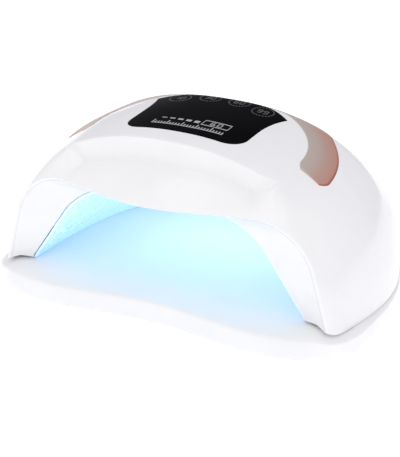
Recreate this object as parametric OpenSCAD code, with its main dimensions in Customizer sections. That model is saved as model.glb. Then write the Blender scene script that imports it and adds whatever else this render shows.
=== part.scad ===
// UV/LED nail lamp: a domed lamp head that stands on a detachable magnetic base tray.
// Millimetres, +Z up. The origin is the centre of the footprint on the table.
// -Y is the hand opening, +Y is the mains side.

/* [Overall] */
// Width of the base tray
tray_w = 240; // [220:1:260]
// Y of the front of the tray's two lobes
tray_front = -100.8; // [-104:0.1:-99]
// Y of the rear of the tray
tray_rear = 101.8; // [100:0.1:105]
// Height of the roof above the table
roof_z = 109.5; // [104:0.5:116]
// Height of the tray's hand rest
tray_top = 17; // [16:0.5:18]
// Air gap between the tray and the lamp head
head_gap = 0.8; // [0.5:0.1:1.5]

/* [Lamp head] */
// Half width of the head where it is widest
head_hw = 117.2; // [114:0.2:118]
// Wall of the outer shell
wall = 2.4; // [1.8:0.1:3]
// Y of the rearmost point of the head
head_rear = 95.5; // [92:0.5:97]
// Y where the head is widest
y_wide = -29; // [-35:1:-20]
// Y of the highest point of the roof
y_crest = 0; // [-5:1:5]
// Y of the step above the brow
y_step = -74.5; // [-76:0.5:-72]
// Height of the top of the hand opening's lip
lip_z = 75.8; // [73:0.2:78]
// Half width of the lip at its foot
lip_hw = 106.7; // [105:0.1:108]
// Half width of the arch at its foot
arch_hw = 91.7; // [88:0.1:94]
// Height of the top of the arch
arch_z = 72.3; // [69:0.1:74]
// Y of the arch's front edge
arch_y = -79.7; // [-80.5:0.1:-78]

/* [Liner and lamps] */
// Wall of the reflector liner
liner_wall = 1.6; // [1.2:0.1:2]
// Y of the rearmost point of the liner
liner_rear = 70; // [66:1:72]
// Diameter of a lamp bead
bead_d = 5; // [4:0.5:6]

/* [Fasteners] */
// Diameter of a magnet
magnet_d = 10; // [8:0.5:12]
// Diameter of a screw's shank
screw_d = 3; // [2.5:0.1:3.5]

/* [Hidden] */
head_z = tray_top + head_gap;
roof_h = roof_z - head_z;
fine = 48;
phis = [for (i = [0:fine]) 180 * i / fine];

// ---- outline of the tray, seen from above ----
tray_mid = -41.8;
front_pow = 4.2;
rear_pow = 2;
// x where each front lobe of the tray reaches furthest
lobe_x = 80;
// depth of the hollow in the tray's front edge
front_dip = 8.5;
tray_n = 96;
// thickness of the tray's deck
deck = 2.6;

function pow_sgn(v, e) = sign(v) * pow(abs(v), e);
function dip_at(x) = abs(x) < lobe_x ? front_dip * pow(cos(90 * x / lobe_x), 2) : 0;
function tray_pt(a, inset, z) =
    let (p = sin(a) < 0 ? front_pow : rear_pow,
         reach = sin(a) < 0 ? tray_mid - tray_front : tray_rear - tray_mid,
         u = abs(cos(a)) / (tray_w / 2 - inset),
         v = abs(sin(a)) / (reach - inset),
         r = pow(pow(u, p) + pow(v, p), -1 / p),
         x = r * cos(a))
    [x, tray_mid + r * sin(a) + (sin(a) < 0 ? dip_at(x) : 0), z];
// how far the deck and the head's foot drop at the two sides, where the head's skirt hangs over the tray
skirt = 5;
function smooth(t) = let (c = min(1, max(0, t))) c * c * (3 - 2 * c);
function drop(x) = skirt * smooth((abs(x) - 98) / 16);
// lowers a point of the tray at the sides: none at the height low, all of the drop 9 mm higher
function sunk(p, low) = p - [0, 0, drop(p[0]) * smooth((p[2] - low) / 9)];
function tray_ring(inset, z) = [for (i = [0:tray_n - 1]) tray_pt(360 * i / tray_n, inset, z)];
// 0 at the sides and the back, 1 at the front, where the tray's top slopes down to its edge
function frontness(a) = smooth((-sin(a) - 0.12) / 0.33);
function mixed_ring(side, front) = [for (i = [0:tray_n - 1])
    let (a = 360 * i / tray_n, f = frontness(a), e = (1 - f) * side + f * front)
    sunk(tray_pt(a, e[0], e[1]), 8)];
function under_ring(inset) = [for (i = [0:tray_n - 1])
    sunk(tray_pt(360 * i / tray_n, inset, tray_top - deck), 5.4)];
function flat(pts) = [for (p = pts) [p[0], p[1]]];

// ---- form of the lamp head ----
plan_pow = 1.95;
roof_pow = 1.24;
nose_taper = 9.1;
// widening of the foot at the front corners
flare = 3.5;
nose_drop = 3.7;
round_rear = 2.34;
round_front = 2.17;

// half width, roof height and roundness of the cross-section at y, t inside the surface
function half_w(y, t = 0) = y > y_wide
    ? (head_hw - t) * pow(max(0, 1 - pow((y - y_wide) / (head_rear - t - y_wide), plan_pow)), 1 / plan_pow)
    : head_hw - t - nose_taper * pow((y_wide - y) / 45, 2);
function rise(y, t = 0) = y > y_crest
    ? (roof_h - t) * pow(max(0, 1 - pow((y - y_crest) / (head_rear - t - y_crest), roof_pow)), 1 / roof_pow)
    : roof_h - t - nose_drop * pow((y_crest - y) / 75, 2);
function roundness(y) = round_rear - (round_rear - round_front) * min(1, max(0, (y_wide - y) / 45));

// the rear hand hold: a step across the back that fades out again, and starts earlier on the inside
grip_y = 47;
grip_depth = 3;
inner_lead = 3;
function grip(y, phi) = y <= grip_y ? 0
    : grip_depth * exp(-(y - grip_y) / 20) * min(1, max(0, (phi - 16) / 10), max(0, (164 - phi) / 10))
      * min(1, (head_rear - y) / 20);
function head_r(phi, y, t = 0) =
    let (n = roundness(y), a = half_w(y, t), h = rise(y, t))
    pow(pow(abs(cos(phi)) / a, n) + pow(sin(phi) / h, n), -1 / n) - grip(t > 0 ? y + inner_lead : y, phi)
    + flare * pow(max(0, y_wide - y) / 45, 2) * pow(max(0, 1 - min(phi, 180 - phi) / 24), 2);
function polar(phi, r, y) = [r * cos(phi), y, head_z + r * sin(phi)];
function head_pt(phi, y, t = 0) = polar(phi, head_r(phi, y, t), y);
function head_top(x, y, t = 0) = head_z
    + rise(y, t) * pow(1 - pow(abs(x) / half_w(y, t), roundness(y)), 1 / roundness(y));

// a rounded trapezoid around the opening: radius at angle phi, for a foot half width,
// a height, a lean of the sides and a corner radius
function arch_r(phi, hw, h, lean, r) =
    let (p = phi > 90 ? 180 - phi : phi,
         turn = 90 - atan(lean),
         cx = hw - lean * h - r * tan(turn / 2),
         cz = h - r,
         foot = atan2(cz + r * sin(90 - turn), cx + r * cos(90 - turn)),
         top = atan2(h, cx),
         c = cx * cos(p) + cz * sin(p))
    p < foot ? hw / (cos(p) + lean * sin(p))
    : p > top ? h / sin(p)
    : c + sqrt(c * c - cx * cx - cz * cz + r * r);

step_x = 68;
corner_x = 54;
brow_z = 92.5;
// edge of the roof above the brow
function edge_y(x) = y_step + 2 * pow(min(abs(x), step_x) / 50, 2)
    + 5 * pow(max(0, min(abs(x), step_x) - 56) / 12, 2);
function edge_phi(phi) = edge_y(head_r(phi, y_step) * cos(phi));
function step_depth(p) = let (x = abs(p[0]))
    x > step_x ? 0
    : (p[2] - (brow_z - 8 * pow(x / corner_x, 2))) * min(1, (step_x - x) / (step_x - corner_x));
// angle on a smaller arch that faces the same part of the roof edge
function matched(p, hw, h) = atan2((p[2] - head_z) * h / rise(y_step), p[0] * hw / half_w(y_step));
function lip_pt(p) =
    let (a = matched(p, lip_hw, lip_z - head_z),
         q = polar(a, arch_r(a, lip_hw, lip_z - head_z, 0.27, 38), 0))
    [q[0], -83.5 - 19.2 * exp(-pow(q[0] / 56, 2)), q[2]];
function arch_pt(p, grow = 0, y = arch_y) =
    let (a = matched(p, arch_hw, arch_z - head_z))
    polar(a, arch_r(a, arch_hw, arch_z - head_z, 0.698, 50) + grow, y);
function out(p, d, dy) = let (r = norm([p[0], p[2] - head_z]))
    [p[0] * (1 + d / r), p[1] + dy, head_z + (p[2] - head_z) * (1 + d / r)];
function brow_pt(lo, lip, s, d) =
    let (bulge = 4 * s * (1 - s), m = (1 - s) * lo + s * lip, foot = max(0, 1 - (m[2] - head_z) / 25))
    out(m, (2 + d + 1.5 * foot * foot) * bulge, 0);
// the skirt: the head's lower edge drops with the tray's deck
function skirted(p) = let (u = max(0, 1 - (p[2] - head_z) / 30)) p - [0, 0, drop(p[0]) * u * u];

function rear_y(i, n, y_end) = y_wide + (y_end - y_wide) * sin(90 * i / n);
station_n = 18;
nose_n = 6;
brow_n = 5;
// y of the head's stations, from the rear point forwards to the widest one
stations = concat(
    [for (i = [station_n - 1:-1:1]) let (y = rear_y(i, station_n, head_rear)) if (y > grip_y + 3) y],
    [grip_y + 1, grip_y],
    [for (i = [station_n - 1:-1:1]) let (y = rear_y(i, station_n, head_rear)) if (y < grip_y - 3) y],
    [y_wide]);
function inner_station(y) = y_wide + (y - y_wide) * (head_rear - wall - y_wide) / (head_rear - y_wide);

function outer_profile(phi) =
    let (ye = edge_phi(phi), edge = head_pt(phi, ye), lo = edge - [0, 1.2, step_depth(edge)],
         lip = lip_pt(edge))
    [for (p = concat([for (y = stations) head_pt(phi, y)],
        [for (i = [1:nose_n - 1]) head_pt(phi, y_wide + (ye - y_wide) * i / nose_n)],
        [edge, lo],
        [for (i = [1:brow_n]) brow_pt(lo, lip, i / brow_n, 0)],
        [arch_pt(edge)])) skirted(p)];
// the same stations on the inside, from the front backwards
function inner_profile(phi) =
    let (ye = edge_phi(phi) + wall, edge = head_pt(phi, ye, wall), s = sin(phi),
         full = head_pt(phi, edge_phi(phi)),
         lo = edge - [0, 0, max(0, step_depth(full) - 0.5)],
         lip = out(lip_pt(full), -3.2 + 4.8 * s, 3.2 + 3 * s))
    [for (p = concat([arch_pt(full, 0.6 + 1.8 * s, arch_y + 2.6 - 2.1 * s)],
        [for (i = [brow_n:-1:1]) brow_pt(lo, lip, i / brow_n, -1.2)],
        [lo, edge],
        [for (i = [nose_n - 1:-1:1]) head_pt(phi, y_wide + (ye - y_wide) * i / nose_n, wall)],
        [for (i = [len(stations) - 1:-1:0]) head_pt(phi, inner_station(stations[i]), wall)])) skirted(p)];

// ---- solids from grids of points ----
// profiles swept from phi 0 to 180 that all start and end in the two points a and b;
// point k from the start of a profile lies across the wall from point k from its end
module swept(a, b, profiles) {
    m = len(profiles[0]);
    n = len(profiles) - 1;
    pts = concat([a, b], [for (p = profiles) for (q = p) q]);
    function id(j, k) = k < 0 ? 0 : k >= m ? 1 : 2 + j * m + k;
    quads = [for (j = [0:n - 1]) for (k = [-1:m]) let (k2 = k == m ? -1 : k + 1)
        [id(j, k), id(j + 1, k), id(j + 1, k2), id(j, k2)]];
    tris = [for (q = quads) for (t = [[q[0], q[1], q[2]], [q[0], q[2], q[3]]])
        if (t[0] != t[1] && t[1] != t[2] && t[0] != t[2]) t];
    // the two feet are strips between the outer half of a profile and its inner half
    feet = [for (k = [-1:m / 2 - 2])
        for (f = [[0, k, k + 1, m - 2 - k, m - 1 - k], [n, m - 1 - k, m - 2 - k, k + 1, k]])
            for (t = [[1, 2, 3], [1, 3, 4]]) [for (i = t) id(f[0], f[i])]];
    polyhedron(pts, concat(tris, feet));
}
// closed loops of equal length stacked into a solid
module stacked(rings) {
    n = len(rings[0]);
    m = len(rings);
    polyhedron([for (r = rings) for (p = r) p], concat(
        [for (i = [0:m - 2]) for (j = [0:n - 1]) let (k = (j + 1) % n)
            for (t = [[i * n + j, i * n + n + k, i * n + k], [i * n + j, i * n + n + j, i * n + n + k]]) t],
        [[for (j = [0:n - 1]) j]], [[for (j = [n - 1:-1:0]) (m - 1) * n + j]]));
}
// a slab between two grids of the same size, top over bottom
module slab(top, bottom) {
    r = len(top);
    c = len(top[0]);
    o = r * c;
    cells = [for (i = [0:r - 2]) for (j = [0:c - 2]) i * c + j];
    function q(a, b, d, e) = [[a, b, d], [a, d, e]];
    polyhedron([for (g = [top, bottom]) for (row = g) for (p = row) p], concat(
        [for (k = cells) for (t = q(k, k + c, k + c + 1, k + 1)) t],
        [for (cell = cells) let (k = o + cell) for (t = q(k, k + 1, k + c + 1, k + c)) t],
        [for (i = [0:r - 2]) let (k = i * c) for (t = q(k, k + o, k + c + o, k + c)) t],
        [for (i = [0:r - 2]) let (k = i * c + c - 1) for (t = q(k, k + c, k + c + o, k + o)) t],
        [for (j = [0:c - 2]) for (t = q(j, j + 1, j + 1 + o, j + o)) t],
        [for (j = [0:c - 2]) let (k = (r - 1) * c + j) for (t = q(k, k + o, k + 1 + o, k + 1)) t]));
}
// a closed ring whose section is the quadrilateral of four loops
module looped(loops) {
    n = len(loops[0]);
    polyhedron([for (l = loops) for (p = l) p], [for (i = [0:3]) for (j = [0:n - 1])
        let (i2 = (i + 1) % 4, k = (j + 1) % n)
        for (t = [[i * n + j, i * n + k, i2 * n + k], [i * n + j, i2 * n + k, i2 * n + j]]) t]);
}

// ---- the control panel's outline, seen from above ----
panel_front = -60.3;
panel_hw = 39.2;
panel_r = 9;
// rows of the panel from its front edge to its rear arc, as fractions of its depth
panel_rows = concat(
    [for (a = [0:15:90]) (1 - cos(a)) * panel_r / 60],
    [for (i = [1:8]) 0.15 + 0.85 * i / 8]);
function panel_rear(x) = 5.5 - 13.5 * pow(x / 44, 2);
function panel_side(y) = let (d = y - panel_front)
    d < panel_r ? panel_hw - panel_r + sqrt(max(0, panel_r * panel_r - pow(panel_r - d, 2)))
    : panel_hw + 5 * pow(max(0, y + 40) / 32, 2.5);
function panel_xy(u, v, grow) =
    let (y0 = panel_front + u * (panel_rear(v * 44) - panel_front), x = v * panel_side(y0))
    [x + grow * v, y0 + grow * (2 * u - 1)];
function panel_edge(grow) = concat(
    [for (u = panel_rows) panel_xy(u, 1, grow)],
    [for (v = [0.8:-0.2:-0.8]) panel_xy(1, v, grow)],
    [for (i = [len(panel_rows) - 1:-1:0]) panel_xy(panel_rows[i], -1, grow)]);
// height below the roof's wall over a disc of radius r
function under_roof(p, r) =
    min([for (a = [0:45:315]) head_top(p[0] + r * cos(a), p[1] + r * sin(a), wall)]) - 0.5;
function on_roof(p, lift) = [p[0], p[1], head_top(p[0], p[1]) + lift];

// ---- the accent band's outline, seen from above ----
band_y = -42;
band_in = [68.9, 50];
band_out = [86.6, 67];
band_n = 2.1;
function band_xy(a, s) =
    let (h = (1 - s) * band_in + s * band_out,
         ends = max(0, 6 - min(abs(a + 5), abs(a - 185))) / 6,
         s2 = s + (0.5 - s) * 0.35 * ends * ends)
    [((1 - s2) * band_in[0] + s2 * band_out[0]) * pow_sgn(cos(a), 2 / band_n),
     band_y + (sin(a) < 0 ? 70 * sin(a) : h[1] * pow_sgn(sin(a), 2 / band_n))];
band_angles = [for (a = [-5:1:3]) a, 5, 8, 12, 18, for (a = [25:7:155]) a, 162, 168, 172, 175,
    for (a = [177:1:185]) a];

// ---- the reflector liner ----
liner_front = arch_y + 1;
liner_wide = -60;
liner_ys = [for (i = [9:-1:0]) liner_wide + (liner_rear - liner_wide) * sin(90 * i / 10)];
function liner_k(y, t) = y < liner_wide ? 1
    : pow(max(0, 1 - pow((y - liner_wide) / (liner_rear - t - liner_wide), 2.6)), 1 / 2.6);
function liner_pt(phi, y, t) = polar(phi,
    (arch_r(phi, arch_hw, arch_z - head_z, 0.698, 50) - 0.4 - t) * liner_k(y, t), y);
module liner_skin() {
    angles = [for (i = [0:32]) 180 * i / 32];
    swept([0, liner_rear, head_z], [0, liner_rear - liner_wall, head_z], [for (phi = angles) concat(
        [for (y = liner_ys) liner_pt(phi, y, 0)], [liner_pt(phi, liner_front, 0)],
        [liner_pt(phi, liner_front, liner_wall)],
        [for (i = [len(liner_ys) - 1:-1:0]) liner_pt(phi, min(liner_ys[i], liner_rear - liner_wall - 2),
            liner_wall)])]);
}

// ---- places of the repeated pieces ----
side_lean = atan(0.698);
side_foot = [75, 0, 41.9];
top_beads = [for (x = [-36:24:36]) for (y = [-64:16:-32]) [x, y]];
side_beads = [for (u = [-9, 9]) for (y = [-66:16:-18]) [u, y]];
rear_beads = [[-34, 30, 13.5], [-12, 32, 8], [12, 32, 8], [34, 30, 13.5]];
magnet_xy = [for (s = [-1, 1]) for (p = [[99, -50], [95.5, 10]]) [s * p[0], p[1]]];
tray_screw_xy = [for (s = [-1, 1]) for (p = [[90, -75], [100, 0], [45, 70]]) [s * p[0], p[1]]];
foot_xy = [for (s = [-1, 1]) for (p = [[70, -82], [58, 58]]) [s * p[0], p[1]]];
pad_xy = [for (s = [-1, 1]) for (p = [[96, -35], [62, 58]]) [s * p[0], p[1]]];
head_screw_xy = [for (s = [-1, 1]) for (p = [[98.5, -66], [104, -20], [70, 50]]) [s * p[0], p[1]]];
button_xy = [for (s = [-1, 1]) for (p = [[28, -8.5], [9.8, -3.2]]) [s * p[0], p[1]]];
board_z = 90;
// z of the underside of the ceiling's lamp board, and the thickness of every lamp board
lamp_z = 78;
lamp_t = 1.2;
// distance of a side board from the liner, along its normal
side_gap = 5;
// y of the rear board's front face
rear_gap = 74;
post_xy = [for (s = [-1, 1]) for (p = [[46.8, -50], [44, 9]]) [s * p[0], p[1]]];
jack_z = 29;
jack_d = 11.6;
// y of the jack's face
jack_face = 90.6;

module at(list, z) {
    for (p = list) translate([p[0], p[1], z]) children();
}
module on_side(s) {
    translate([s * side_foot[0], 0, side_foot[2]]) rotate([0, s * (90 - side_lean), 0]) children();
}
module screw(len, head_d = 5.6, head_h = 1.8) {
    cylinder(h = head_h, d = head_d, $fn = 32);
    cylinder(h = len, d = screw_d, $fn = 32);
}

// ---- the base tray ----
module tray_shell() {
    color("white") stacked([
        under_ring(26),
        under_ring(22),
        under_ring(17),
        mixed_ring([7, 13.6], [13, 12.8]),
        mixed_ring([3.4, 11], [3.6, 9.6]),
        tray_ring(2.8, 0.8),
        tray_ring(1, 0.6),
        tray_ring(0.3, 1.6),
        tray_ring(0, 3.6),
        mixed_ring([0, 11], [0, 10.6]),
        mixed_ring([0.5, 14], [0.6, 12.6]),
        mixed_ring([1.4, 15.6], [1.8, 13.6]),
        mixed_ring([2.8, 16.6], [6, 14.8]),
        mixed_ring([6, tray_top], [12, 16]),
        mixed_ring([11, tray_top], [18, 16.8]),
        mixed_ring([16, tray_top], [21, tray_top]),
        mixed_ring([21, tray_top], [24, tray_top]),
        mixed_ring([26, tray_top], [28, tray_top])]);
}
module tray_base() {
    color("whitesmoke") difference() {
        union() {
            translate([0, 0, 1.4]) linear_extrude(2) polygon(flat(tray_ring(3.2, 0)));
            at(tray_screw_xy, 3.2) cylinder(h = 9, d = 8, $fn = 32);
            at(magnet_xy, 3.2) cylinder(h = 7, d = magnet_d, $fn = 48);
        }
        at(tray_screw_xy, 0) cylinder(h = 11, d = screw_d + 0.2, $fn = 32);
        at(tray_screw_xy, 0) cylinder(h = 3.2, d = 6.4, $fn = 32);
        at(foot_xy, 0) cylinder(h = 2, d = 12.4, $fn = 48);
    }
}
module tray_screws() {
    color("silver") at(tray_screw_xy, 1.3) screw(9);
}
module tray_feet() {
    color("dimgray") at(foot_xy, 0) cylinder(h = 2, d = 12, $fn = 48);
}
module tray_magnets() {
    color("silver") at(magnet_xy, 10.2) cylinder(h = 2.3, d = magnet_d, $fn = 48);
}
module tray_pads() {
    color("whitesmoke") at(pad_xy, tray_top) cylinder(h = head_gap - 0.3, d = 6, $fn = 32);
}

// ---- the lamp head's skin ----
module shell() {
    color("white") difference() {
        swept([0, head_rear, head_z], [0, head_rear - wall, head_z],
            [for (phi = phis) concat(outer_profile(phi), inner_profile(phi))]);
        translate([0, 0, 82]) linear_extrude(40) polygon(panel_edge(0.3));
        translate([0, 70, jack_z]) rotate([-90, 0, 0]) cylinder(h = 40, d = jack_d + 0.4, $fn = 48);
    }
}
module accent_band() {
    steps = [0, 0.06, 0.25, 0.5, 0.75, 0.94, 1];
    color("rosybrown") slab(
        [for (a = band_angles) [for (s = steps) on_roof(band_xy(a, s), 0.6)]],
        [for (a = band_angles) [for (s = steps) on_roof(band_xy(a, s), 0.25)]]);
}
module panel() {
    cols = [-1, -0.9, -0.7, -0.45, -0.2, 0, 0.2, 0.45, 0.7, 0.9, 1];
    color("black") slab(
        [for (u = panel_rows) [for (v = cols) on_roof(panel_xy(u, v, -0.1), 0.25)]],
        [for (u = panel_rows) [for (v = cols) on_roof(panel_xy(u, v, -0.1), -wall)]]);
}
module panel_frame() {
    top = -wall - 0.7;
    color("dimgray") looped([
        [for (p = panel_edge(3)) on_roof(p, top)], [for (p = panel_edge(-3)) on_roof(p, top)],
        [for (p = panel_edge(-3)) on_roof(p, top - 1.7)], [for (p = panel_edge(3)) on_roof(p, top - 1.7)]]);
}
module power_jack() {
    color("dimgray") translate([0, 0, jack_z]) rotate([-90, 0, 0]) {
        difference() {
            union() {
                translate([0, 0, jack_face - 8.4]) cylinder(h = 8.4, d = jack_d, $fn = 48);
                translate([0, 0, jack_face - 14]) cylinder(h = 8, d = 8, $fn = 48);
            }
            translate([0, 0, jack_face - 9]) cylinder(h = 10, d = 5.6, $fn = 48);
        }
        translate([0, 0, jack_face - 10]) cylinder(h = 8.5, d = 2, $fn = 32);
    }
}
module jack_nut() {
    color("silver") translate([0, 0, jack_z]) rotate([-90, 0, 0]) difference() {
        translate([0, 0, jack_face - 11.2]) cylinder(h = 2.4, d = jack_d, $fn = 6);
        translate([0, 0, jack_face - 12]) cylinder(h = 5, d = 8, $fn = 48);
    }
}

// ---- the reflector and its lamps ----
module bead_holes() {
    clear = bead_d + 0.6;
    at(top_beads, 62) cylinder(h = 14, d = clear, $fn = 24);
    for (s = [-1, 1]) on_side(s) for (b = side_beads)
        translate([b[0], b[1], -6]) cylinder(h = 12, d = clear, $fn = 24);
    for (b = rear_beads)
        translate([b[0], 50, b[1]]) rotate([-90, 0, 0]) cylinder(h = 30, d = clear, $fn = 24);
    translate([0, -72, 62]) cylinder(h = 14, d = 8.4, $fn = 24);
}
module liner() {
    color("lightcyan") difference() {
        liner_skin();
        bead_holes();
    }
}
module bead(len) {
    cylinder(h = len - bead_d / 2, d = bead_d, $fn = 32);
    translate([0, 0, len - bead_d / 2]) sphere(d = bead_d, $fn = 32);
    cylinder(h = 1, d = bead_d + 0.9, $fn = 32);
}
module beads_top() {
    color("lavender") at(top_beads, lamp_z) mirror([0, 0, 1]) bead(10);
}
module beads_side(s) {
    color("lavender") on_side(s) for (b = side_beads)
        translate([b[0], b[1], side_gap]) mirror([0, 0, 1]) bead(9);
}
module beads_rear() {
    color("lavender") for (b = rear_beads) translate([b[0], rear_gap, b[1]]) rotate([90, 0, 0]) bead(b[2]);
}
module board_top() {
    color("mintcream") translate([-48, -74, lamp_z]) cube([96, 54, lamp_t]);
}
module board_side(s) {
    color("mintcream") on_side(s) translate([-16, -76, side_gap]) cube([32, 68, lamp_t]);
}
module board_rear() {
    color("mintcream") translate([-39, rear_gap, 22]) cube([78, lamp_t, 17]);
}
module led_posts() {
    top = lamp_z + lamp_t;
    color("white") {
        for (x = [-44, 44]) {
            translate([x, -64, top]) cylinder(h = under_roof([x, -64], 2.5) - top, d = 5, $fn = 32);
            translate([x, -24, top]) cylinder(h = board_z - top, d = 5, $fn = 32);
        }
        for (s = [-1, 1]) on_side(s) for (y = [-58, -26])
            translate([0, y, side_gap + lamp_t]) cylinder(h = 8, d = 5, $fn = 32);
        for (x = [-35, 35]) translate([x, rear_gap + lamp_t, 24]) rotate([-90, 0, 0])
            cylinder(h = 6, d = 4, $fn = 32);
    }
}
module sensor() {
    color("black") translate([0, -72, 0]) {
        translate([0, 0, lamp_z - 9.5]) cylinder(h = 6, d = 8, $fn = 48);
        translate([0, 0, lamp_z - 3.5]) cylinder(h = 3.5, d = 10, $fn = 48);
    }
}

// ---- the lamp head's floor ----
function floor_outer() = [for (i = [-17:17])
    let (y = abs(i) == 17 ? -78 : rear_y(17 - abs(i), 17, head_rear - 3.6))
    [sign(i) * (i == 0 ? 0 : half_w(y, 3.6)), y]];
function liner_edge(y) = (arch_hw + 0.2) * liner_k(y, -1);
function floor_inner() = [for (i = [-17:17])
    let (y = abs(i) == 17 ? -77 : liner_wide + (liner_rear + 1 - liner_wide) * sin(90 * (17 - abs(i)) / 17))
    [sign(i) * (i == 0 ? 0 : liner_edge(y)), y]];
module head_floor() {
    color("whitesmoke") difference() {
        translate([0, 0, head_z + 0.2]) linear_extrude(2.2)
            polygon(concat(floor_outer(), [for (i = [34:-1:0]) floor_inner()[i]]));
        at(magnet_xy, 0) cylinder(h = 40, d = magnet_d + 0.3, $fn = 48);
        at(head_screw_xy, 0) cylinder(h = 40, d = screw_d + 0.4, $fn = 32);
    }
}
module floor_posts() {
    color("white") at(head_screw_xy, head_z + 2.4) difference() {
        cylinder(h = 14, d = 8, $fn = 32);
        translate([0, 0, -1]) cylinder(h = 11, d = screw_d, $fn = 32);
    }
}
module head_magnets() {
    color("silver") at(magnet_xy, head_z + 0.1) cylinder(h = 2.3, d = magnet_d, $fn = 48);
}
module head_screws() {
    color("silver") at(head_screw_xy, head_z - 0.3) screw(11, 5.6, 0.5);
}

// ---- the electronics under the panel ----
module control_board() {
    color("darkgreen") difference() {
        translate([-50, -56, board_z]) cube([100, 71, 1.6]);
        at(post_xy, board_z - 1) cylinder(h = 4, d = screw_d, $fn = 32);
    }
}
module board_posts() {
    color("white") for (p = post_xy) translate([p[0], p[1], board_z + 1.6])
        cylinder(h = under_roof(p, 3) - board_z - 1.6, d = 6, $fn = 32);
}
module board_screws() {
    color("silver") at(post_xy, board_z - 1.8) cylinder(h = 1.8, d = 5.4, $fn = 32);
    color("silver") at(post_xy, board_z - 1) cylinder(h = 2.6, d = 2.6, $fn = 32);
}
module touch_springs() {
    color("silver") for (p = button_xy) translate([p[0], p[1], board_z + 1.6]) {
        cylinder(h = 1, d = 8, $fn = 32);
        cylinder(h = under_roof(p, 2.5) - board_z - 1.6, d = 5, $fn = 32);
    }
}
module display() {
    color("dimgray") translate([-12, -30, board_z + 1.6]) cube([24, 11, 8]);
}
module board_parts() {
    color("dimgray") {
        translate([-30, -44, board_z + 1.6]) cylinder(h = 9, d = 8, $fn = 32);
        translate([-20, -44, board_z + 1.6]) cylinder(h = 9, d = 8, $fn = 32);
        translate([20, -48, board_z + 1.6]) cube([12, 12, 5]);
        translate([-6, -46, board_z + 1.6]) cube([12, 8, 2]);
        translate([-8, 8, board_z - 6]) cube([16, 6, 6]);
    }
}
module ribbon() {
    top = board_z - 6;
    color("white") translate([-7, 0, 0]) rotate([90, 0, 90]) linear_extrude(14)
        polygon([[10, top], [10, lamp_z + 4], [-24, lamp_z + 2.4],
            [-24, lamp_z + 1.4], [11, lamp_z + 3], [11, top]]);
}

tray_shell();
tray_base();
tray_magnets();
tray_screws();
tray_feet();
tray_pads();
shell();
accent_band();
panel();
panel_frame();
liner();
head_floor();
floor_posts();
head_magnets();
head_screws();
board_top();
board_side(1);  // board_right
board_side(-1);  // board_left
board_rear();
beads_top();
beads_side(1);  // beads_right
beads_side(-1);  // beads_left
beads_rear();
led_posts();
control_board();
board_posts();
board_screws();
touch_springs();
display();
board_parts();
sensor();
power_jack();
jack_nut();
ribbon();
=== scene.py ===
"""UV/LED nail lamp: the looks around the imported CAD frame.

Shapes are worked out in millimetres and stored in metres; lights and camera are in metres.
"""

import math

import bpy
import numpy as np
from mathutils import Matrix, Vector


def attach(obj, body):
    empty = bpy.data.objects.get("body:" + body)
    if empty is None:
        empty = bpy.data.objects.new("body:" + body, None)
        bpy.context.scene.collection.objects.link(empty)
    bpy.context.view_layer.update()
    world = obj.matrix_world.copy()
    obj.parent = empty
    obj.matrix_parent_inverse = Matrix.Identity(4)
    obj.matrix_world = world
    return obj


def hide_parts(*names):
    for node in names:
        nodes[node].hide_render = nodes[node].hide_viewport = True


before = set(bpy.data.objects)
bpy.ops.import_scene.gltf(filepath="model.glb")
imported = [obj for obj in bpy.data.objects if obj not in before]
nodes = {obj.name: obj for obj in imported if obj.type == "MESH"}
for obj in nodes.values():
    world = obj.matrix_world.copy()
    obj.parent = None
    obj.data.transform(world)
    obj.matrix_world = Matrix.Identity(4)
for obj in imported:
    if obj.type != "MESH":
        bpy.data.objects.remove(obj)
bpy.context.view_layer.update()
MM = 0.001

# ---------------------------------------------------------------- the lamp's form, as in the CAD source
TRAY_W, TRAY_FRONT, TRAY_REAR, TRAY_MID, TRAY_TOP = 120.0, -100.8, 101.8, -41.8, 17.0
FRONT_POW, REAR_POW, LOBE_X, FRONT_DIP, DECK = 4.2, 2.0, 80.0, 8.5, 2.6
HEAD_Z, ROOF_Z, WALL = 17.8, 109.5, 2.4
ROOF_H = ROOF_Z - HEAD_Z
HEAD_HW, HEAD_REAR, Y_WIDE, Y_CREST, Y_STEP = 117.2, 95.5, -29.0, 0.0, -74.5
PLAN_POW, CREST_POW, NARROWING, FRONT_FALL = 1.95, 1.24, 9.1, 3.7
LIP_Z, LIP_HW, ARCH_HW, ARCH_Z, ARCH_Y = 75.8, 106.7, 91.7, 72.3, -79.7
STEP_X, CORNER_X, BROW_Z = 68.0, 54.0, 92.5
LIP_LEAN, LIP_CORNER, ARCH_LEAN, ARCH_CORNER = 0.27, 38.0, 0.698, 50.0
GRIP_Y, GRIP_REACH, GRIP_DEPTH, RIDGE = 47.0, 42.0, 4.6, 0.9
SKIRT, FLARE, HEM = 5.0, 3.5, 0.7
LINER_WIDE, LINER_REAR, LINER_WALL, LINER_GAP, LINER_POW = -60.0, 70.0, 1.6, 0.4, 2.6


def ramp(t):
    """A smooth step from 0 to 1."""
    t = min(1.0, max(0.0, t))
    return t * t * (3 - 2 * t)


def lerp(a, b, t):
    return a + (b - a) * t


def V(*c):
    return np.array(c, float)


def quarter(u, power):
    """Height at u of a quarter superellipse of unit size."""
    return max(0.0, 1 - u ** power) ** (1 / power)


def half_w(y, t=0.0):
    """Half the head's width at y, for a surface a depth t inside the outside."""
    if y > Y_WIDE:
        return (HEAD_HW - t) * quarter((y - Y_WIDE) / (HEAD_REAR - t - Y_WIDE), PLAN_POW)
    return HEAD_HW - t - NARROWING * ((Y_WIDE - y) / 45) ** 2


def rise(y, t=0.0):
    """The head's height over its foot at y."""
    if y > Y_CREST:
        return (ROOF_H - t) * quarter((y - Y_CREST) / (HEAD_REAR - t - Y_CREST), CREST_POW)
    return ROOF_H - t - FRONT_FALL * ((Y_CREST - y) / 75) ** 2


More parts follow.
